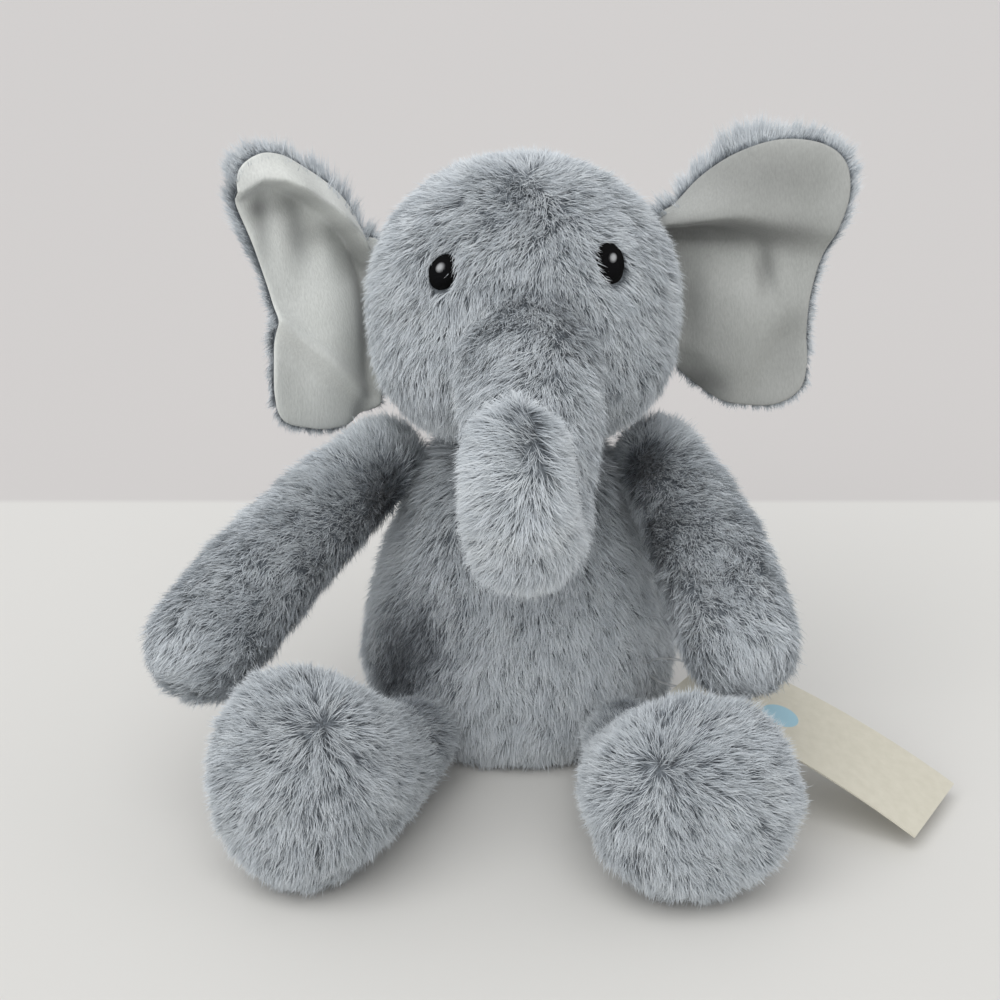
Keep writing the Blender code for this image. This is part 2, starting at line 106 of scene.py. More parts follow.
# Where the pile is made darker or paler: middle, radius and how much. Mostly painted shade and painted light:
# shadow under the trunk and head, sides turned from the sun painted darker, lit patches painted paler; some
# dark spots also stand for pile parted to show its darker roots.
PAINTED_LIGHT_AND_PARTED_PILE = {
    "torso": (
        ((0.016, -0.050, 0.060), 0.080, 0.12),
        ((-0.043, -0.044, 0.058), 0.023, -0.60),
        ((-0.052, -0.032, 0.034), 0.019, -0.50),
        ((0.042, -0.044, 0.060), 0.032, 0.20),
        ((0.028, -0.026, 0.118), 0.018, -0.30),
        ((-0.030, -0.026, 0.114), 0.018, -0.30),
    ),
    "head": (
        ((0.045, -0.045, 0.165), 0.034, -0.14),
        ((0.014, -0.064, 0.198), 0.012, -0.26),
        ((0.019, -0.067, 0.182), 0.011, -0.22),
        ((-0.006, -0.066, 0.206), 0.006, -0.16),
        ((-0.002, -0.132, 0.150), 0.034, 0.10),
        ((0.0015, -0.134, 0.173), 0.005, -0.40),
        ((0.0045, -0.143, 0.165), 0.005, -0.40),
        ((-0.029, -0.061, 0.184), 0.0035, 0.24),
        ((-0.027, -0.066, 0.177), 0.0035, 0.24),
        ((-0.024, -0.072, 0.170), 0.0035, 0.24),
        ((-0.022, -0.078, 0.163), 0.0035, 0.24),
        ((0.034, -0.058, 0.202), 0.0035, 0.20),
        ((0.034, -0.060, 0.195), 0.0035, 0.20),
        ((0.034, -0.062, 0.188), 0.0035, 0.24),
        ((0.033, -0.065, 0.181), 0.0035, 0.24),
        ((0.032, -0.068, 0.174), 0.0035, 0.24),
        ((0.031, -0.072, 0.167), 0.0035, 0.24),
        ((0.029, -0.078, 0.160), 0.0035, 0.24),
    ),
    "left_arm": (
        ((0.048, -0.026, 0.122), 0.012, -0.60),
        ((0.054, -0.050, 0.098), 0.018, -0.50),
        ((0.062, -0.080, 0.080), 0.014, -0.30),
    ),
    "right_arm": (
        ((-0.048, -0.030, 0.108), 0.019, -0.60),
        ((-0.066, -0.055, 0.086), 0.017, -0.40),
        ((-0.086, -0.076, 0.070), 0.014, -0.22),
    ),
    "left_leg": (
        ((0.050, -0.140, 0.045), 0.075, -0.17),
        ((0.046, -0.070, 0.034), 0.018, -0.45),
    ),
    "right_leg": (
        ((-0.070, -0.135, 0.045), 0.075, -0.18),
        ((-0.048, -0.068, 0.030), 0.022, -0.40),
    ),
}

# Ears: outlines (out from the hinge, height), their lie and the folded brim along the top.
EAR_HINGE = (0.0600, 0.0140)
EAR_MIDDLE = {"left": Vector((0.029, 0.190)), "right": Vector((0.024, 0.190))}
EAR_OUTLINES = {
    "left": (
        (-0.0050, 0.2140), (0.0020, 0.2210), (0.0120, 0.2320), (0.0255, 0.2412), (0.0420, 0.2467),
        (0.0580, 0.2457), (0.0675, 0.2390), (0.0698, 0.2270), (0.0665, 0.2135), (0.0610, 0.2010),
        (0.0573, 0.1850), (0.0567, 0.1700), (0.0577, 0.1560), (0.0548, 0.1445), (0.0430, 0.1378),
        (0.0230, 0.1398), (0.0070, 0.1500), (-0.0040, 0.1650), (-0.0060, 0.1900),
    ),
    "right": (
        (-0.0050, 0.2020), (0.0015, 0.2085), (0.0105, 0.2220), (0.0220, 0.2328), (0.0350, 0.2415),
        (0.0430, 0.2456), (0.0520, 0.2467), (0.0610, 0.2425), (0.0635, 0.2340), (0.0585, 0.2170),
        (0.0520, 0.2005), (0.0472, 0.1856), (0.0450, 0.1703), (0.0450, 0.1480), (0.0410, 0.1365),
        (0.0290, 0.1310), (0.0166, 0.1285), (0.0040, 0.1305), (-0.0045, 0.1390), (-0.0060, 0.1650),
    ),
}
EAR_TURN = {"left": -4, "right": -36}  # degrees that each ear stands forward
EAR_TILT = {"left": 0.0, "right": 0.12}  # how far its lower part stands forward of its top, for its height
EAR_PUFF = 0.0018  # how much further apart the two layers stand inside the seam than at it
EAR_CLOTH = 0.0005
EAR_ROLL = 0.0009  # how far the seam rolls back
EAR_BACK_REACH = 0.985  # the lining covers the plush layer's edge
EAR_EATEN = 0.0018  # the plush layer smooths out folds narrower than this
EAR_RINGS = 46
EAR_STEPS = 10  # places on each stretch of an outline
BRIM = 0.0095  # width of the right ear's folded brim
LEFT_BRIM = (0.2132, 0.0045)  # the left ear's is deeper: height of its edge at the ends, and how far it arches
EAR_TUFTS = {"left": (0.026, 0.238), "right": (0.010, 0.220)}  # the longest pile on each ear
# Painted shade on the velour: shadow in its hollows, under the brim and in its creases, and the whole left ear
# painted darker: out, height, how far along each, and how much.
EAR_PAINTED_SHADE = {
    "left": (
        (0.030, 0.190, 0.200, 0.200, 0.62),
        (0.008, 0.2100, 0.013, 0.0048, 0.80),
        (0.028, 0.2095, 0.015, 0.0060, 0.42),
        (0.050, 0.2100, 0.013, 0.0070, 0.28),
        (0.036, 0.2330, 0.036, 0.0140, 0.26),
        (0.039, 0.1950, 0.004, 0.0100, 0.30),
        (0.003, 0.1800, 0.007, 0.0200, 0.30),
        (0.012, 0.1450, 0.013, 0.0070, 0.45),
        (0.050, 0.1620, 0.008, 0.0160, 0.14),
    ),
    "right": (
        (0.053, 0.2250, 0.006, 0.0090, 0.60),
        (0.037, 0.2140, 0.007, 0.0120, 0.60),
        (0.045, 0.2250, 0.020, 0.0050, 0.45),
        (0.022, 0.2110, 0.010, 0.0060, 0.50),
        (0.010, 0.2000, 0.008, 0.0100, 0.50),
        (0.002, 0.1750, 0.006, 0.0300, 0.40),
        (0.038, 0.1560, 0.009, 0.0150, 0.22),
    ),
}

# Eyes and tag.
EYE_SIZES = {"left": (0.0058, 0.0079), "right": (0.0057, 0.0068)}
EYE_RISE = 0.0026
GLINT_SIZES = {"left": (0.0017, 0.0023), "right": (0.0019, 0.0024)}
GLINT_LIFT = 0.0009
EYE_SLANT, GLINT_SLANT = 0.15, 0.30  # radians that the stitches lean
GLINT_UP = 0.16  # above the eye's middle, as a share of its half height
GLINT_DEPTH = 0.0012  # how far the glint's own middle lies under the eye's top
THREAD = 0.00024  # radius
STITCH_PITCH = 1.55  # from one stitch to the next, in thread radii
STITCH_SIDES = 6
STITCH_KNOTS = 8  # stretches along a stitch
TAG_DOT = (0.1018, -0.0616, 0.0290)
TAG_DOT_RADIUS = 0.0080


# Materials

def shader(name, roughness, sheen=0.0, sheen_roughness=0.5):
    """A new material, with its nodes, links and Principled shader."""
    material = bpy.data.materials.new(name)
    material.use_nodes = True
    tree = material.node_tree
    principled = tree.nodes["Principled BSDF"]
    principled.inputs["Roughness"].default_value = roughness
    principled.inputs["Sheen Weight"].default_value = sheen
    principled.inputs["Sheen Roughness"].default_value = sheen_roughness
    principled.inputs["Sheen Tint"].default_value = (1, 1, 1, 1)
    return material, tree, principled


def node(tree, kind, **settings):
    """A new shader node; each setting is one of its inputs, or else one of its properties."""
    made = tree.nodes.new("ShaderNode" + kind)
    for key, value in settings.items():
        if key in made.inputs:
            made.inputs[key].default_value = value
        else:
            setattr(made, key, value)
    return made


def ramp(tree, source, stops):
    """A colour ramp of (position, colour) stops, fed by a socket."""
    made = node(tree, "ValToRGB")
    elements = made.color_ramp.elements
    while len(elements) < len(stops):
        elements.new(0.5)
    for element, (position, colour) in zip(elements, stops):
        element.position = position
        element.color = (*colour, 1)
    tree.links.new(source, made.inputs["Fac"])
    return made.outputs["Color"]


def noise_texture(tree, scale, detail=4.0, stretch=(1, 1, 1)):
    """The value of a noise texture fixed to the object."""
    place = node(tree, "TexCoord")
    mapping = node(tree, "Mapping", Scale=stretch)
    texture = node(tree, "TexNoise", Scale=scale, Detail=detail)
    tree.links.new(place.outputs["Object"], mapping.inputs["Vector"])
    tree.links.new(mapping.outputs["Vector"], texture.inputs["Vector"])
    return texture.outputs["Fac"]


def mix_colour(tree, a, b, share, blend="MIX"):
    """Mixes two colour sockets or plain colours; share is a socket or a number."""
    made = tree.nodes.new("ShaderNodeMix")
    made.data_type = "RGBA"
    made.blend_type = blend
    for value, socket in ((share, made.inputs[0]), (a, made.inputs[6]), (b, made.inputs[7])):
        if isinstance(value, bpy.types.NodeSocket):
            tree.links.new(value, socket)
        else:
            socket.default_value = value if isinstance(value, (int, float)) else (*value, 1)
    return made.outputs[2]


def bump(tree, principled, height, strength, distance):
    made = node(tree, "Bump", Strength=strength, Distance=distance)
    tree.links.new(height, made.inputs["Height"])
    tree.links.new(made.outputs["Normal"], principled.inputs["Normal"])


def fur_material():
    """Hair colour: dark at the root and pale at the tip, with every lock a little different."""
    material, tree, principled = shader("plush_fur", 0.80, sheen=0.20)
    along = node(tree, "Attribute", attribute_name="tone")
    lock = node(tree, "Attribute", attribute_name="lock")
    hair = ramp(tree, along.outputs["Fac"], (
        # the darkest stop, below ROOT_TONE, serves the spots' painted shade and parted pile
        (0.00, (0.030, 0.035, 0.042)),
        (0.15, (0.110, 0.124, 0.140)),
        (0.34, (0.310, 0.338, 0.362)),
        (0.56, (0.570, 0.604, 0.630)),
        (1.00, (0.755, 0.790, 0.818)),
    ))
    shade = ramp(tree, lock.outputs["Fac"], (
        (0.0, (0.80, 0.82, 0.84)),
        (0.5, (0.95, 0.96, 0.97)),
        (1.0, (1.06, 1.06, 1.05)),
    ))
    colour = mix_colour(tree, hair, shade, 1.0, "MULTIPLY")
    tree.links.new(colour, principled.inputs["Base Color"])
    return material


def backing_material():
    """The knitted backing that shows between locks: dark, and mottled by the roots of the pile."""
    material, tree, principled = shader("plush_backing", 0.95)
    colour = ramp(tree, noise_texture(tree, 900), (
        (0.30, (0.110, 0.126, 0.142)),
        (0.75, (0.230, 0.256, 0.280)),
    ))
    tree.links.new(colour, principled.inputs["Base Color"])
    bump(tree, principled, noise_texture(tree, 1500), 0.6, 0.0006)
    return material


def velour_material():
    """Short pile: a soft sheen, a fine grain, faint cloudy patches where it was stroked, and painted shade from
    the hollow attribute.
    """
    material, tree, principled = shader("ear_velour", 0.85, sheen=0.35, sheen_roughness=0.4)
    cloudy = ramp(tree, noise_texture(tree, 38, 3), (
        (0.30, (0.660, 0.680, 0.650)),
        (0.70, (0.770, 0.788, 0.760)),
    ))
    grain = ramp(tree, noise_texture(tree, 1400, 2, (1, 1, 0.35)), (
        (0.25, (0.86, 0.86, 0.86)),
        (0.75, (1.0, 1.0, 1.0)),
    ))
    # painted shade: the hollow attribute darkens the velour under the brim, in its creases and over the whole
    # left ear
    painted_shade_attribute = node(tree, "Attribute", attribute_name="hollow")
    hollow = ramp(tree, painted_shade_attribute.outputs["Fac"], ((0.0, (1, 1, 1)), (1.0, (0.30, 0.30, 0.30))))
    colour = mix_colour(tree, mix_colour(tree, cloudy, grain, 1.0, "MULTIPLY"), hollow, 1.0, "MULTIPLY")
    tree.links.new(colour, principled.inputs["Base Color"])
    bump(tree, principled, noise_texture(tree, 1400, 3, (1, 1, 0.35)), 0.5, 0.0004)
    return material


def thread_material(name, dark, light, edge, roughness):
    """Twisted embroidery thread: a fine slanting twist on each stitch, and another tone at the oval's edge."""
    material, tree, principled = shader(name, roughness)
    principled.inputs["Specular IOR Level"].default_value = 0.06
    twist = node(tree, "TexWave", Scale=900, Distortion=1.5, Detail=1.0)
    place = node(tree, "TexCoord")
    tree.links.new(place.outputs["Object"], twist.inputs["Vector"])
    thread = ramp(tree, twist.outputs["Fac"], ((0.0, dark), (1.0, light)))
    rim = node(tree, "Attribute", attribute_name="rim")
    share = ramp(tree, rim.outputs["Fac"], ((0.35, (0, 0, 0)), (0.95, (1, 1, 1))))
    tree.links.new(mix_colour(tree, thread, edge, share), principled.inputs["Base Color"])
    bump(tree, principled, twist.outputs["Fac"], 0.4, 0.0002)
    return material


def card_material():
    """Uncoated cream card with a plain round blue spot."""
    material, tree, principled = shader("tag_card", 0.55)
    place = node(tree, "TexCoord")
    away = node(tree, "VectorMath", operation="DISTANCE")
    away.inputs[1].default_value = TAG_DOT
    tree.links.new(place.outputs["Object"], away.inputs[0])
    inside = node(
        tree, "MapRange",
        **{"From Min": TAG_DOT_RADIUS, "From Max": TAG_DOT_RADIUS * 0.97, "To Min": 0.0, "To Max": 1.0},
    )
    tree.links.new(away.outputs["Value"], inside.inputs["Value"])
    paper = ramp(tree, noise_texture(tree, 260, 5), (
        (0.30, (0.588, 0.562, 0.465)),
        (0.75, (0.643, 0.615, 0.517)),
    ))
    colour = mix_colour(tree, paper, (0.345, 0.560, 0.660), inside.outputs["Result"])
    tree.links.new(colour, principled.inputs["Base Color"])
    bump(tree, principled, noise_texture(tree, 1800, 2), 0.25, 0.0002)
    return material


def satin_material():
    """Woven satin tape with a fine rib."""
    material, tree, principled = shader("label_satin", 0.35, sheen=0.2)
    rib = node(tree, "TexWave", Scale=700, Distortion=0.2)
    place = node(tree, "TexCoord")
    tree.links.new(place.outputs["Object"], rib.inputs["Vector"])
    colour = ramp(tree, rib.outputs["Fac"], ((0.0, (0.74, 0.74, 0.73)), (1.0, (0.86, 0.86, 0.85))))
    tree.links.new(colour, principled.inputs["Base Color"])
    return material


def nylon_material():
    """Milky nylon, clouded a little along its length."""
    material, tree, principled = shader("loop_nylon", 0.30)
    colour = ramp(tree, noise_texture(tree, 300, 2), ((0.3, (0.62, 0.64, 0.65)), (0.7, (0.74, 0.76, 0.77))))
    tree.links.new(colour, principled.inputs["Base Color"])
    principled.inputs["Transmission Weight"].default_value = 0.80
    return material


FUR = fur_material()
BACKING = backing_material()
VELOUR = velour_material()
BLACK_THREAD = thread_material(
    "black_thread", (0.002, 0.002, 0.0025), (0.006, 0.006, 0.007), (0.003, 0.003, 0.003), 0.65
)
WHITE_THREAD = thread_material(
    "white_thread", (0.30, 0.31, 0.32), (0.52, 0.53, 0.54), (0.012, 0.012, 0.013), 0.60
)
CARD = card_material()
SATIN = satin_material()
NYLON = nylon_material()


# Camera, light and floor

def make_camera():
    data = bpy.data.cameras.new("camera")
    data.lens = VIEW_LENS
    data.sensor_width = VIEW_SENSOR
    data.clip_start = 0.01
    camera = bpy.data.objects.new("camera", data)
    back = Vector((0, -math.cos(VIEW_ELEVATION), math.sin(VIEW_ELEVATION)))
    camera.location = VIEW_TARGET + VIEW_DISTANCE * back
    camera.rotation_euler = (math.pi / 2 - VIEW_ELEVATION, 0, 0)
    bpy.context.scene.collection.objects.link(camera)
    bpy.context.scene.camera = camera


def make_studio():
    """A pale table that turns a little greyer behind the toy, soft light from the front and an even sky."""
    world = bpy.data.worlds.new("studio")
    world.use_nodes = True
    background = world.node_tree.nodes["Background"]
    background.inputs["Color"].default_value = SKY_COLOUR
    background.inputs["Strength"].default_value = SKY_STRENGTH
    bpy.context.scene.world = world
    sun = bpy.data.lights.new("soft_daylight", "SUN")
    sun.energy = SUN_STRENGTH
    sun.angle = math.radians(SUN_WIDTH)
    light = bpy.data.objects.new("soft_daylight", sun)
    light.rotation_euler = SUN_FROM.to_track_quat("Z", "Y").to_euler()
    bpy.context.scene.collection.objects.link(light)
    bpy.context.scene.view_settings.view_transform = "Standard"

    bm = bmesh.new()
    bmesh.ops.create_grid(bm, x_segments=8, y_segments=8, size=TABLE_REACH)
    mesh = bpy.data.meshes.new("floor")
    bm.to_mesh(mesh)
    bm.free()
    floor = bpy.data.objects.new("floor", mesh)
    bpy.context.scene.collection.objects.link(floor)
    material, tree, principled = shader("pale_table", 0.60)
    place = node(tree, "TexCoord")
    parts = node(tree, "SeparateXYZ")
    tree.links.new(place.outputs["Object"], parts.inputs["Vector"])
    far = node(tree, "MapRange", **{"From Min": TABLE_TURNS[0], "From Max": TABLE_TURNS[1]})
    tree.links.new(parts.outputs["Y"], far.inputs["Value"])
    colour = mix_colour(tree, TABLE_NEAR, TABLE_FAR, far.outputs["Result"])
    tree.links.new(colour, principled.inputs["Base Color"])
    mesh.materials.append(material)


make_camera()
make_studio()


# Covers

def add_piece(name, mesh, material):
    """Links a mesh as a piece, smooth shaded."""
    mesh.materials.append(material)
    mesh.shade_smooth()
    piece = bpy.data.objects.new(name, mesh)
    bpy.context.scene.collection.objects.link(piece)
    return piece


def modified(mesh, *modifiers):
    """The mesh after (kind, settings) modifiers, as a new mesh."""
    scratch = bpy.data.objects.new("scratch", mesh)
    bpy.context.scene.collection.objects.link(scratch)
    for kind, settings in modifiers:
        modifier = scratch.modifiers.new(kind.lower(), kind)
        for key, value in settings.items():
            setattr(modifier, key, value)
    graph = bpy.context.evaluated_depsgraph_get()
    made = bpy.data.meshes.new_from_object(scratch.evaluated_get(graph), depsgraph=graph)
    bpy.data.objects.remove(scratch)
    return made


def offset(bm, distance):
    """Moves every vertex out along its normal."""
    bm.normal_update()
    moved = [v.co + v.normal * distance for v in bm.verts]
    for vertex, place in zip(bm.verts, moved):
        vertex.co = place


def cover_mesh(solids, smooth=8, voxel=VOXEL):
    """One closed cover over the named CAD solids, grown by the cloth's thickness."""
    whole = bmesh.new()
    for name in solids:
        bm = bmesh.new()
        bm.from_mesh(nodes[name].data)
        bmesh.ops.remove_doubles(bm, verts=bm.verts, dist=1e-6)
        bmesh.ops.recalc_face_normals(bm, faces=bm.faces)
        offset(bm, COVER + WELD)
        part = bpy.data.meshes.new(name)
        bm.to_mesh(part)
        bm.free()
        whole.from_mesh(part)
        bpy.data.meshes.remove(part)
    rough = bpy.data.meshes.new("rough")
    whole.to_mesh(rough)
    whole.free()
    made = modified(
        rough,
        ("REMESH", {"mode": "VOXEL", "voxel_size": voxel}),
        ("SMOOTH", {"factor": 0.5, "iterations": smooth}),
    )
    bm = bmesh.new()
    bm.from_mesh(made)
    offset(bm, -WELD)
    for vertex in bm.verts:
        vertex.co.z = max(vertex.co.z, FLOOR_GAP)
    bm.to_mesh(made)
    bm.free()
    return made


# Fur

def fractal(points, size, seed):
    """Smooth noise, mostly between -1 and 1: waves of about that size, summed in random directions."""
    rng = np.random.default_rng(seed)
    total = np.zeros(len(points))
    for _ in range(WAVES):
        direction = rng.normal(size=3)
        direction *= 2 * math.pi / (size * rng.uniform(0.7, 1.6) * np.linalg.norm(direction))
        total += np.sin(points @ direction + rng.uniform(0, 2 * math.pi))
    return total / (WAVES / 2)


def unit(vectors):
    return vectors / np.maximum(np.linalg.norm(vectors, axis=-1, keepdims=True), 1e-9)


def tangent(vectors, normals):
    """The part of each vector that lies along the surface, at unit length."""
    return unit(vectors - normals * np.sum(vectors * normals, axis=-1, keepdims=True))


def smoothstep(value, low, high):
    t = np.clip((value - low) / (high - low), 0, 1)
    return t * t * (3 - 2 * t)


class Skin:
    """The triangles of a cover, to scatter locks on."""

    def __init__(self, mesh, facing=None):
        mesh.calc_loop_triangles()
        count = len(mesh.vertices)
        points = np.empty(count * 3, np.float32)
        mesh.vertices.foreach_get("co", points)
        normals = np.empty(count * 3, np.float32)
        mesh.vertex_normals.foreach_get("vector", normals)
        corners = np.empty(len(mesh.loop_triangles) * 3, np.int32)
        mesh.loop_triangles.foreach_get("vertices", corners)
        corners = corners.reshape(-1, 3)
        self.points = points.reshape(-1, 3).astype(float)[corners]
        self.normals = normals.reshape(-1, 3).astype(float)[corners]
        edges = self.points[:, 1:] - self.points[:, :1]
        self.areas = np.linalg.norm(np.cross(edges[:, 0], edges[:, 1]), axis=1) / 2
        if facing is not None:
            self.areas = self.areas * facing(self.points.mean(1), unit(self.normals.mean(1)))

    def scatter(self, rng, count):
        """(points, normals) of count places, even over the area."""
        share = np.cumsum(self.areas) / self.areas.sum()
        chosen = np.minimum(np.searchsorted(share, rng.random(count)), len(share) - 1)
        a = np.sqrt(rng.random(count))
        b = rng.random(count)
        weights = np.stack((1 - a, a * (1 - b), a * b), 1)[:, :, None]
        return (self.points[chosen] * weights).sum(1), unit((self.normals[chosen] * weights).sum(1))


def hair_mesh(name, lines, sides, tone, lock):
    """Ribbons along lines (n, 4, 3), the last point a tip; sides are half widths (n, 3, 3)."""
    count = len(lines)
    places = np.empty((count, 7, 3))
    places[:, 0:6:2] = lines[:, :3] - sides
    places[:, 1:6:2] = lines[:, :3] + sides
    places[:, 6] = lines[:, 3]
    places[..., 2] = np.maximum(places[..., 2], FLOOR_GAP)
    mesh = bpy.data.meshes.new(name)
    mesh.vertices.add(count * 7)
    mesh.vertices.foreach_set("co", places.astype(np.float32).ravel())
    corner = np.array((0, 1, 3, 2, 2, 3, 5, 4, 4, 5, 6))
    mesh.loops.add(count * 11)
    mesh.loops.foreach_set("vertex_index", (np.arange(count)[:, None] * 7 + corner).astype(np.int32).ravel())
    mesh.polygons.add(count * 3)
    starts = np.arange(count)[:, None] * 11 + np.array((0, 4, 8))
    mesh.polygons.foreach_set("loop_start", starts.astype(np.int32).ravel())
    mesh.update(calc_edges=True)
    for key, values in (("tone", tone), ("lock", np.repeat(lock, 7))):
        attribute = mesh.attributes.new(key, "FLOAT", "POINT")
        attribute.data.foreach_set("value", values.astype(np.float32).ravel())
    return mesh


def shading(points, spots):
    """How much paler the pile is at each point: painted light and painted shade from the spots, with darker
    parted pile.
    """
    total = np.zeros(len(points))
    for place, radius, amount in spots:
        total += amount * np.exp(-np.sum((points - np.array(place)) ** 2, 1) / radius ** 2)
    return total


def grow_fur(
    name, skin, nap, place, pile=PILE, lift=0.58, spread=0.0023, sink=0.0006, spots=(), clear=None, density=1.0,
    longer=None, seed=0,
):
    """Fur on a skin. nap gives each hair's lie, place puts each finished piece on its body, spread and sink say
    how wide a lock's roots stand and how deep, clear says which hairs stay, and longer stretches locks."""
    rng = np.random.default_rng(FUR_SEED + seed)
    locks = int(skin.areas.sum() * 1e4 * HAIRS_PER_CM2 * density / HAIRS_IN_LOCK)
    centre, normal = skin.scatter(rng, locks)
    flow = tangent(nap(centre), normal)
    across = np.cross(normal, flow)
    turn = 0.45 * fractal(centre, 0.030, seed + 1) + 0.25 * fractal(centre, 0.010, seed + 2)
    turn += rng.normal(0, 0.20, locks)
    flow = flow * np.cos(turn)[:, None] + across * np.sin(turn)[:, None]
    across = np.cross(normal, flow)
    rise = lift + 0.12 * fractal(centre, 0.012, seed + 3) + rng.normal(0, 0.08, locks)
    rise = np.clip(rise, 0.10, 0.95)[:, None]
    reach = pile * (1 + 0.12 * fractal(centre, 0.016, seed + 4) + rng.normal(0, 0.08, locks))[:, None]
    if longer is not None:
        reach = reach * longer(centre)[:, None]
    lean = flow * np.sqrt(1 - rise ** 2) + normal * rise

    hairs = locks * HAIRS_IN_LOCK

    def each(values):
        return np.repeat(values, HAIRS_IN_LOCK, axis=0)

    away = spread * np.sqrt(rng.random((hairs, 1)))
    angle = rng.uniform(0, 2 * math.pi, (hairs, 1))
    off = each(flow) * np.cos(angle) * away * 1.3 + each(across) * np.sin(angle) * away
    root = each(centre) + off - each(normal) * sink
    size = each(reach) * rng.uniform(0.72, 1.10, (hairs, 1))
    gather = rng.uniform(0.20, 0.70, (hairs, 1))
    tip = root + each(lean) * size - off * gather + rng.normal(0, 0.0007, (hairs, 3))
    knee = root + (each(normal) * (0.55 + 0.35 * each(rise)) + each(flow) * 0.42) * size * 0.50
    times = HAIR_TIMES[None, :, None]
    line = (
        root[:, None] * (1 - times) ** 2
        + knee[:, None] * 2 * times * (1 - times)
        + tip[:, None] * times ** 2
    )
    along = unit(line[:, 1:] - line[:, :-1])
    side = unit(np.cross(along, each(normal)[:, None] + rng.normal(0, 0.45, (hairs, 1, 3))))
    sides = side * HAIR_HALF_WIDTH * HAIR_TAPER[None, :, None]
    lock = np.clip(0.5 + 0.22 * fractal(centre, 0.014, seed + 5) + rng.normal(0, 0.16, locks), 0, 1)
    shade = np.clip(each(lock[:, None])[:, 0] + rng.normal(0, 0.12, hairs), 0, 1)
    # painted light and painted shade from the spots (with parted pile), plus random tone that differs from lock
    # to lock
    light = shading(root, spots) + 0.07 * fractal(root, 0.010, seed + 6)
    tone = HAIR_TONES[None, :] * rng.uniform(0.80, 1.0, (hairs, 1))
    tone = np.clip(ROOT_TONE + (1 - ROOT_TONE) * tone + light[:, None], 0, 1)
    order = rng.permutation(hairs)
    if clear is not None:
        order = order[clear(line[order], rng.random(hairs))]
    pieces = max(1, math.ceil(len(order) / HAIRS_PER_PIECE))
    for index, part in enumerate(np.array_split(order, pieces)):
        label = f"{name}_{index + 1}" if pieces > 1 else name
        mesh = hair_mesh(label, line[part], sides[part], tone[part], shade[part])
        place(add_piece(label, mesh, FUR))


def rides(body):
    return lambda piece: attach(piece, body)


def down(points):
    return np.tile(np.array((0, 0, -1.0)), (len(points), 1))


def make_torso():
    mesh = cover_mesh(["body_stuffing"], smooth=4)
    cover = add_piece("torso_cover", mesh, BACKING)
    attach(cover, "torso")
    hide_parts("body_front_panel", "body_back_panel", "seat_panel", "body_stuffing")
    skin = Skin(mesh, lambda p, n: (n[:, 2] > -0.80).astype(float))

    def nap(points):
        """Down the body, and out towards the shoulders round its top."""
        outward = points * (1, 1, 0)
        return unit(down(points) + unit(outward) * 1.5 * smoothstep(points[:, 2:], 0.100, 0.118))

    def longer(points):
        return 1 + 0.7 * smoothstep(points[:, 2], 0.100, 0.116)

    grow_fur("torso_fur", skin, nap, rides("torso"), spots=PAINTED_LIGHT_AND_PARTED_PILE["torso"], longer=longer, seed=100)


def head_nap(points):
    """Away from the crown and down the cheeks; on the trunk's lobe away from the line at its tip."""
    from_crown = unit(points - CROWN) + (0, 0, -0.8) * smoothstep(0.225 - points[:, 2:], 0, 0.03)
    low, high = TRUNK_TIP
    along = np.clip((points - low) @ (high - low) / np.sum((high - low) ** 2), 0, 1)[:, None]
    from_tip = unit(points - low - along * (high - low))
    share = smoothstep(-points[:, 1], -TRUNK_FRONT[0], -TRUNK_FRONT[1])[:, None]
    return from_crown * (1 - share) + from_tip * share


def eye_frame(side):
    """(centre, across, up, out, (half width, half height)) of an eye on the head's cover."""
    low, high = (Vector(c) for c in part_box("head_stuffing"))
    centre, radii = (low + high) / 2, (high - low) / 2
    low, high = (Vector(c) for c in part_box(f"{side}_eye"))
    place = (low + high) / 2
    out = Vector(((place[i] - centre[i]) / radii[i] ** 2 for i in range(3))).normalized()
    across = Vector((0, 0, 1)).cross(out).normalized()
    return place, across, out.cross(across), out, EYE_SIZES[side]


def stitched_oval(name, centre, across, up, out, size, rise, slant, material):
    """A padded oval of satin stitches: threads side by side over a low dome."""
    wide, high = size
    along = across * math.sin(slant) + up * math.cos(slant)
    beside = across * math.cos(slant) - up * math.sin(slant)
    bm = bmesh.new()
    rim = bm.verts.layers.float.new("rim")  # 0 in the middle, 1 at the edge
    bmesh.ops.create_uvsphere(bm, u_segments=32, v_segments=16, radius=1)
    for vertex in bm.verts:
        vertex[rim] = 1.0
    base = Matrix((across * wide * 0.97, up * high * 0.97, out * rise * 0.9)).transposed().to_4x4()
    base.translation = centre
    bmesh.ops.transform(bm, matrix=base, verts=bm.verts)
    reach = math.hypot(wide * math.cos(slant), high * math.sin(slant))
    half = wide * high / reach  # the middle stitch's half length
    count = int(2 * reach / (THREAD * STITCH_PITCH))
    for index in range(count):
        place = (index + 0.5) / count * 2 - 1
        length = half * math.sqrt(1 - place * place)
        skew = place * (high ** 2 - wide ** 2) * math.sin(slant) * math.cos(slant) / reach
        rings = []
        for knot in range(STITCH_KNOTS + 1):
            t = knot / STITCH_KNOTS * 2 - 1
            dome = math.sqrt(max(0.0, 1 - place * place - (1 - place * place) * t * t))
            point = centre + beside * place * reach + along * (skew + t * length) + out * rise * dome
            ring = [
                bm.verts.new(point + (beside * math.cos(a) + out * math.sin(a)) * THREAD)
                for a in (2 * math.pi * k / STITCH_SIDES for k in range(STITCH_SIDES))
            ]
            rings.append(ring)
            for vertex in ring:
                vertex[rim] = math.hypot(place, t * math.sqrt(1 - place * place))
        for a, b in zip(rings, rings[1:]):
            for k in range(STITCH_SIDES):
                following = (k + 1) % STITCH_SIDES
                bm.faces.new((a[k], a[following], b[following], b[k]))
        bm.faces.new(rings[0][::-1])
        bm.faces.new(rings[-1])
    bmesh.ops.recalc_face_normals(bm, faces=bm.faces)
    mesh = bpy.data.meshes.new(name)
    bm.to_mesh(mesh)
    bm.free()
    return add_piece(name, mesh, material)


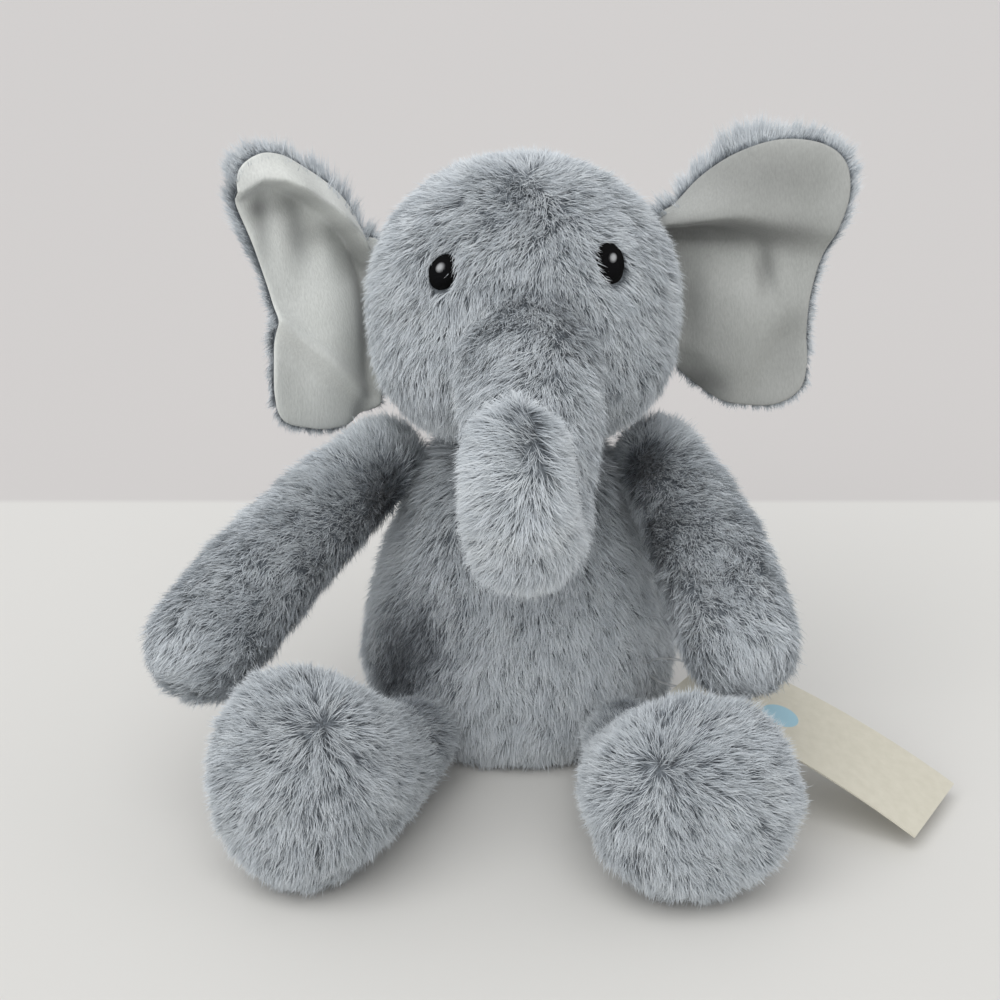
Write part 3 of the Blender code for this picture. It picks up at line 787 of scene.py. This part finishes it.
def make_eyes():
    for side in ("left", "right"):
        centre, across, up, out, size = eye_frame(side)
        eye = stitched_oval(
            f"{side}_embroidered_eye", centre, across, up, out, size, EYE_RISE, EYE_SLANT,
            BLACK_THREAD,
        )
        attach(eye, "head")
        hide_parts(f"{side}_eye")
        shine = centre + up * size[1] * GLINT_UP + out * (EYE_RISE + GLINT_LIFT - GLINT_DEPTH)
        glint = stitched_oval(
            f"{side}_embroidered_glint", shine, across, up, out, GLINT_SIZES[side], GLINT_LIFT, GLINT_SLANT,
            WHITE_THREAD,
        )
        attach(glint, "head")
        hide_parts(f"{side}_eye_glint")


def make_head():
    mesh = cover_mesh(["head_stuffing", "trunk_stuffing"], smooth=10)
    cover = add_piece("head_and_trunk_cover", mesh, BACKING)
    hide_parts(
        "head_left_panel", "head_right_panel", "head_centre_panel", "head_stuffing",
        "trunk_left_panel", "trunk_right_panel", "trunk_stuffing",
    )

    def bends(piece):
        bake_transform(piece)

    bends(cover)
    skin = Skin(mesh)

    eyes = [eye_frame(side) for side in ("left", "right")]

    def clear(lines, chance):
        stay = np.ones(len(lines), bool)
        for centre, across, up, out, (wide, high) in eyes:
            local = lines - np.array(centre)
            near = (local @ np.array(out)) > -0.012
            oval = np.hypot(local @ np.array(across) / wide, local @ np.array(up) / high)
            oval = np.where(near, oval, 9.0)
            stay &= oval[:, 0] > 1.02
            stay &= (oval[:, 1:].min(1) > 0.84) | (chance > 0.985)
        return stay

    grow_fur("head_fur", skin, head_nap, bends, spots=PAINTED_LIGHT_AND_PARTED_PILE["head"], clear=clear, seed=200)


def make_limbs():
    for index, limb in enumerate(("left_arm", "right_arm", "left_leg", "right_leg")):
        mesh = cover_mesh([f"{limb}_stuffing"], smooth=4)
        cover = add_piece(f"{limb}_cover", mesh, BACKING)
        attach(cover, limb)
        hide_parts(f"{limb}_upper_panel", f"{limb}_under_panel", f"{limb}_stuffing")

        def nap(points, whorl=np.array(WHORLS[limb])):
            return unit(points - whorl)

        grow_fur(f"{limb}_fur", Skin(mesh), nap, rides(limb), spots=PAINTED_LIGHT_AND_PARTED_PILE[limb], seed=300 + 50 * index)


def round_curve(points, steps):
    """A closed smooth curve through the points, with steps places on each stretch."""
    count = len(points)
    curve = []
    for i in range(count):
        a, b, c, d = (Vector(points[(i + k) % count]) for k in (-1, 0, 1, 2))
        for j in range(steps):
            t = j / steps
            square, cube = 2 * a - 5 * b + 4 * c - d, 3 * b - a - 3 * c + d
            curve.append(0.5 * (2 * b + (c - a) * t + square * t ** 2 + cube * t ** 3))
    return curve


def step(value, low, high):
    return float(smoothstep(np.float64(value), low, high))


def brim_top(side, out):
    """Height of the ear's top edge above a place along it."""
    top = [p for p in EAR_OUTLINES[side] if p[1] > 0.2]
    top = sorted(p for p in top[:8] if p[0] < 0.064)
    return float(np.interp(out, [p[0] for p in top], [p[1] for p in top]))


def ear_relief(side, out, height):
    """How far forward the ear's cloth stands: a brim folded over along the top, a hollow below, soft folds."""
    top = brim_top(side, out)
    arch = LEFT_BRIM[0] + LEFT_BRIM[1] * math.exp(-((out - 0.030) / 0.018) ** 2)
    edge = top - BRIM if side == "right" else min(arch, top - 0.004)
    above = height - edge
    fade = 1 - (0.70 * step(out, 0.018, 0.058) if side == "left" else 0.85 * step(out, 0.034, 0.060))
    crest, hollow = 0.0085 * fade, 0.0070 * (0.35 + 0.65 * fade)
    if above >= 0:
        relief = crest * (1 - 0.8 * step(above, 0, top - edge))
    else:
        sharp = 0.0026 if side == "right" else 0.0026 + 0.0080 * step(out, 0.010, 0.045)
        near = math.exp(-(above / sharp) ** 2)
        relief = crest * near - hollow * (1 - near) * math.exp(-(above / 0.019) ** 2)
    if side == "left":
        relief += 0.0050 * math.exp(-((out - 0.030) / 0.015) ** 2 - ((height - 0.172) / 0.026) ** 2)
        relief -= 0.0035 * math.exp(-((out - 0.008) / 0.006) ** 2 - ((height - 0.178) / 0.020) ** 2)
        crease = out - 0.037 - 0.25 * (0.2 - height)
        relief -= 0.0030 * math.exp(-(crease / 0.0035) ** 2 - ((height - 0.194) / 0.011) ** 2)
        relief -= 0.0060 * step(0.160 - height + 0.35 * (0.020 - out), 0.0, 0.016) * step(0.030 - out, 0, 0.02)
        outer = out - 0.040 + 0.5 * (0.172 - height)
        relief -= 0.0022 * step(outer, 0.0, 0.012) * step(0.185 - height, 0, 0.02)
    else:
        beyond = (out - 0.044) * 0.67 + (0.179 - height) * 0.742  # past the slanting fold
        relief += 0.0026 * math.exp(-(beyond / 0.0035) ** 2) * step(0.190 - height, 0, 0.012)
        relief -= 0.0040 * step(beyond, 0.0, 0.010)
        relief += 0.0045 * math.exp(-((out - 0.020) / 0.014) ** 2 - ((height - 0.170) / 0.030) ** 2)
        relief += 0.0012 * math.cos(out / 0.0030) * math.exp(-((height - 0.216) / 0.014) ** 2)
        relief -= 0.0040 * math.exp(-((out - 0.001) / 0.005) ** 2)
    return relief + 0.006 * (out / 0.06) ** 2


def ear_turn(side):
    mirror = 1 if side == "left" else -1
    return Matrix.Rotation(math.radians(EAR_TURN[side] * mirror), 3, "Z")


def ear_place(side, out, height, back=0.0, eaten=0.0):
    """A point of the ear's cloth; folds narrower than eaten, if given, are smoothed out."""
    mirror = 1 if side == "left" else -1
    hinge = Vector((EAR_HINGE[0] * mirror, EAR_HINGE[1], 0))
    relief = ear_relief(side, out, height)
    if eaten:
        around = ((eaten, 0), (-eaten, 0), (0, eaten), (0, -eaten))
        relief = min(relief, *(ear_relief(side, out + a, height + b) for a, b in around))
    tilt = EAR_TILT[side] * (0.190 - height)
    across = out + tilt * math.tan(math.radians(-EAR_TURN[side]))
    flat = Vector((across * mirror, back - relief - tilt, 0))
    return hinge + ear_turn(side) @ flat + Vector((0, 0, height + 0.42 * tilt))


def ear_mesh(name, side, is_back):
    """The outer face of one layer of an ear, as rings from its middle to the seam."""
    outline = round_curve(EAR_OUTLINES[side], EAR_STEPS)
    middle = EAR_MIDDLE[side]
    reach = EAR_BACK_REACH if is_back else 1.0
    shares = [reach * (1 - (1 - k / EAR_RINGS) ** 1.15) for k in range(1, EAR_RINGS + 1)]  # closer by the seam
    bm = bmesh.new()
    # the hollow layer carries painted shade for the velour
    hollow = bm.verts.layers.float.new("hollow")

    def vertex(flat, share):
        back = EAR_ROLL * share ** 30
        if is_back:
            back += 0.0002 + 2 * EAR_CLOTH + EAR_PUFF * (1 - (share / reach) ** 8)
        made = bm.verts.new(ear_place(side, flat[0], flat[1], back, EAR_EATEN if is_back else 0.0))
        for out, height, wide, high, amount in EAR_PAINTED_SHADE[side]:
            made[hollow] += amount * math.exp(-((flat[0] - out) / wide) ** 2 - ((flat[1] - height) / high) ** 2)
        return made

    rows = [[vertex(middle.lerp(p, share), share) for p in outline] for share in shares]
    centre = vertex(middle, 0)
    count = len(outline)
    for i in range(count):
        j = (i + 1) % count
        bm.faces.new((rows[0][i], rows[0][j], centre))
        for inner, outer in zip(rows, rows[1:]):
            bm.faces.new((outer[i], outer[j], inner[j], inner[i]))
    bm.normal_update()
    if (centre.normal.y > 0) != is_back:
        bmesh.ops.reverse_faces(bm, faces=bm.faces)
    mesh = bpy.data.meshes.new(name)
    bm.to_mesh(mesh)
    bm.free()
    return mesh


def thick(mesh):
    return modified(mesh, ("SOLIDIFY", {"thickness": EAR_CLOTH, "offset": -1}))


def behind(lining, backward):
    """A test for hairs: none may come out in front of the ear's lining."""
    tree = BVHTree.FromPolygons([v.co for v in lining.vertices], [p.vertices for p in lining.polygons])

    def clear(lines, chance):
        def in_front(point):
            return tree.ray_cast(point, backward, 0.03)[0] is not None

        return np.array([not any(map(in_front, line)) for line in lines[:, 1:].tolist()])

    return clear


def make_ears():
    for side in ("left", "right"):
        body = f"{side}_ear"
        face = ear_mesh("face", side, False)
        lining = add_piece(f"{side}_ear_velour", thick(face), VELOUR)
        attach(lining, body)
        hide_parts(f"{side}_ear_lining")
        sheet = ear_mesh("back", side, True)
        back = add_piece(f"{side}_ear_plush", thick(sheet), BACKING)
        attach(back, body)
        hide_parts(f"{side}_ear_back")
        middle = np.array(ear_place(side, *EAR_MIDDLE[side]))
        tuft = np.array(ear_place(side, *EAR_TUFTS[side]))
        outline = np.array([ear_place(side, *p) for p in round_curve(EAR_OUTLINES[side], 3)])

        def nap(points, middle=middle):
            away = points - middle
            away[:, 2] += 0.010
            return unit(away)

        def edge(points, normals, outline=outline):
            near = np.min(np.linalg.norm(points[:, None] - outline[None], axis=2), axis=1)
            return 1 + 4.5 * np.exp(-(near / 0.005) ** 2)

        def longer(points, middle=middle, tuft=tuft):
            away = unit(points - middle)
            high = smoothstep(away[:, 2], 0.0, 0.9)
            return 0.62 + 0.60 * high + 0.70 * np.exp(-np.sum((points - tuft) ** 2, 1) / 0.018 ** 2)

        grow_fur(
            f"{side}_ear_fur", Skin(sheet, edge), nap, rides(body), lift=0.40, spread=0.0014, sink=0.0002,
            clear=behind(face, ear_turn(side) @ Vector((0, 1, 0))), longer=longer, seed=600 + (side == "right"),
        )


def make_small_parts():
    tail = add_piece("tail_cover", cover_mesh(["tail"], smooth=2, voxel=0.0012), BACKING)
    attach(tail, "tail")
    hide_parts("tail")
    grow_fur("tail_fur", Skin(tail.data), down, rides("tail"), pile=0.0065, lift=0.25, seed=700)
    neck = add_piece("neck_cover", cover_mesh(["neck_stuffing"], smooth=2), BACKING)
    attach(neck, "neck")
    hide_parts("neck_stuffing")
    grow_fur("neck_fur", Skin(neck.data), down, rides("neck"), pile=0.0110, lift=0.75, seed=720)
    for name, material, slot in (
        ("hang_tag", CARD, "tag_card"),
        ("tag_loop", NYLON, "loop_nylon"),
        ("care_label", SATIN, "label_satin"),
    ):
        nodes[name].data.materials.clear()
        nodes[name].data.materials.append(material)


make_torso()
make_head()
make_eyes()
make_limbs()
make_ears()
make_small_parts()
